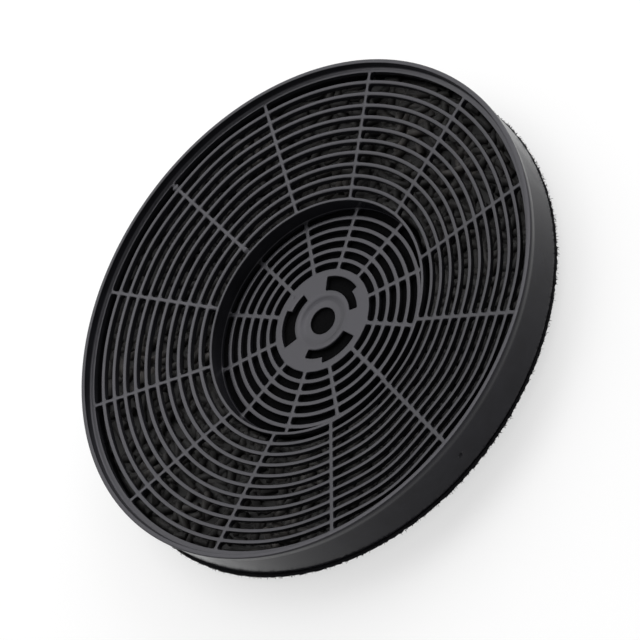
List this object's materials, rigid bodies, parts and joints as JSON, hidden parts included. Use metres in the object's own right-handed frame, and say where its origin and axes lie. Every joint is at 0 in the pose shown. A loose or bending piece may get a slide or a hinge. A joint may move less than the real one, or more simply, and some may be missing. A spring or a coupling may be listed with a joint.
{
  "type": "cooker hood carbon filter",
  "caption": "Round black cooker hood filter: a dished moulded grille with bayonet slots in its hub, filled with carbon pellets and closed behind by a felt pad.",
  "frame": {"origin": "centre of the felt pad's flat underside, on which the filter lies", "axes": "+Z along the filter's axis, out of the grille side; the first spoke points to -Y"},
  "size_m": [0.1761, 0.176, 0.0213],
  "materials": {
    "casing_plastic": "moulded black polypropylene with a satin surface",
    "carbon": "dull extruded activated carbon pellets",
    "felt": "black needled nonwoven felt with a rough cut edge"
  },
  "bodies": {
    "root": {"casing": "casing_plastic", "carbon_bed": "carbon", "backing_felt": "felt"}
  },
  "joints": []
}
